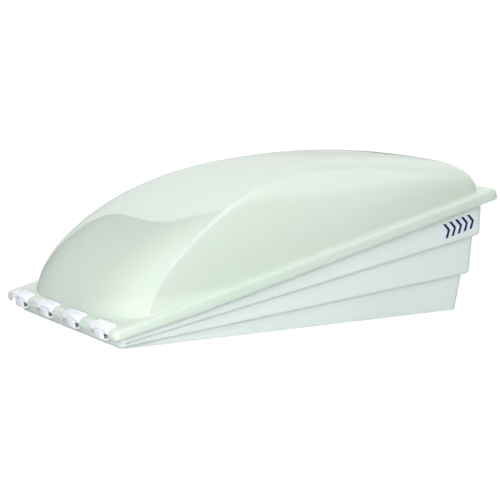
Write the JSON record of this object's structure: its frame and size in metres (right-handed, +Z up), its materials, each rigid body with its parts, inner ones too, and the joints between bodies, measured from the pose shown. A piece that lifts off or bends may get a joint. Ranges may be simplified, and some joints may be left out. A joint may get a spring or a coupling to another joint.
{
  "type": "roof vent cover",
  "caption": "Wedge-shaped roof vent cover with a tiered white base, a front-hinged frosted dome lid and a louvred, screened air outlet at the rear.",
  "frame": {"origin": "centre of the whole part's footprint, in the plane of the roof", "axes": "+Z up from the roof, +Y towards the tall rear end with the air outlet, +X to the right seen from the front"},
  "size_m": [0.5106, 0.876, 0.3145],
  "materials": {
    "base_plastic": "white moulded polyethylene, soft gloss",
    "lid_plastic": "frosted translucent white with a faint green tint",
    "hinge_plastic": "bright white moulded nylon",
    "white_trim": "white moulded plastic, satin",
    "seal_foam": "pale closed-cell foam",
    "seal_rubber": "black rubber, matt",
    "steel": "stainless steel",
    "aluminium": "bent aluminium sheet, brushed",
    "brass_insert": "turned brass",
    "mesh_fibre": "grey glass-fibre insect mesh",
    "decal": "dark blue printed film"
  },
  "bodies": {
    "base": {"base_shell": "base_plastic", "rim_gasket": "seal_foam", "hinge_base_leaf_1": "hinge_plastic", "hinge_base_leaf_2": "hinge_plastic", "hinge_base_leaf_3": "hinge_plastic", "hinge_base_leaf_4": "hinge_plastic", "hinge_pins": "steel", "louvre_panel_upper": "white_trim", "louvre_panel_lower": "white_trim", "louvre_screws": "steel", "screen_tracks": "white_trim", "track_screws": "steel", "mount_bracket_front_left": "aluminium", "mount_bracket_front_right": "aluminium", "mount_bracket_rear_left": "aluminium", "mount_bracket_rear_right": "aluminium", "bracket_bolts": "steel", "bracket_washers": "steel", "bracket_inserts": "brass_insert", "latch_inserts": "brass_insert", "side_decal_left": "decal", "side_decal_right": "decal"},
    "lid": {"lid_shell": "lid_plastic", "hinge_lid_leaf_1": "hinge_plastic", "hinge_lid_leaf_2": "hinge_plastic", "hinge_lid_leaf_3": "hinge_plastic", "hinge_lid_leaf_4": "hinge_plastic", "knob_washers": "seal_rubber"},
    "knob_left": {"latch_knob_left": "white_trim", "knob_retainer_left": "steel"},
    "knob_right": {"latch_knob_right": "white_trim", "knob_retainer_right": "steel"},
    "insect_screen": {"screen_frame": "white_trim", "screen_mesh": "mesh_fibre"}
  },
  "joints": [
    {"name": "lid_hinge", "type": "hinge", "parent": "base", "child": "lid", "pos_m": [0, -0.43258, 0.03054], "axis": [1, 0, 0], "range_deg": [0, 100]},
    {"name": "knob_left_turn", "type": "hinge", "parent": "lid", "child": "knob_left", "pos_m": [-0.15, 0.41838, 0.24557], "axis": [0, -0.2378, 0.9713], "continuous": true},
    {"name": "knob_right_turn", "type": "hinge", "parent": "lid", "child": "knob_right", "pos_m": [0.15, 0.41838, 0.24557], "axis": [0, -0.2378, 0.9713], "continuous": true},
    {"name": "screen_lift", "type": "slide", "parent": "base", "child": "insect_screen", "axis": [0, 0, 1], "range_m": [0, 0.04]}
  ]
}
